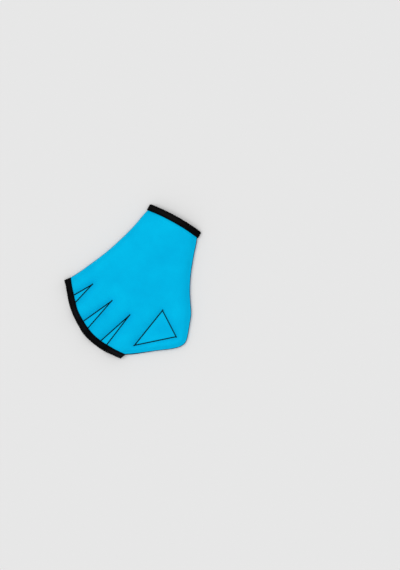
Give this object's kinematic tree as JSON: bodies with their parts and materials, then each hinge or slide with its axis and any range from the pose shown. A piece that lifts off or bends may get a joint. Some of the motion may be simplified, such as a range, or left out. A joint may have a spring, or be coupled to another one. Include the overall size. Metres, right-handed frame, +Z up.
{
  "type": "webbed swim glove",
  "caption": "Webbed swim glove of two sewn neoprene panels, with open finger channels parted by stitched webs, a closed thumb pocket and tape-bound openings.",
  "frame": {"origin": "on the resting plane under the palm, on the line that runs from the middle of the wrist up the middle finger", "axes": "+Z up out of the back of the hand, +Y from the wrist to the fingers, +X to the little finger's side, so the thumb points to -X"},
  "size_m": [0.1755, 0.1997, 0.0136],
  "materials": {
    "neoprene_jersey": "matt knitted jersey over closed-cell neoprene foam",
    "foam_core": "matt cut edge of black neoprene foam",
    "ribbed_tape": "matt black binding tape with fine ribs across it",
    "thread": "black polyester thread"
  },
  "bodies": {
    "root": {"back_panel": "neoprene_jersey", "palm_panel": "neoprene_jersey", "wrist_binding": "ribbed_tape", "back_finger_binding": "ribbed_tape", "palm_finger_binding": "ribbed_tape"}
  },
  "joints": []
}
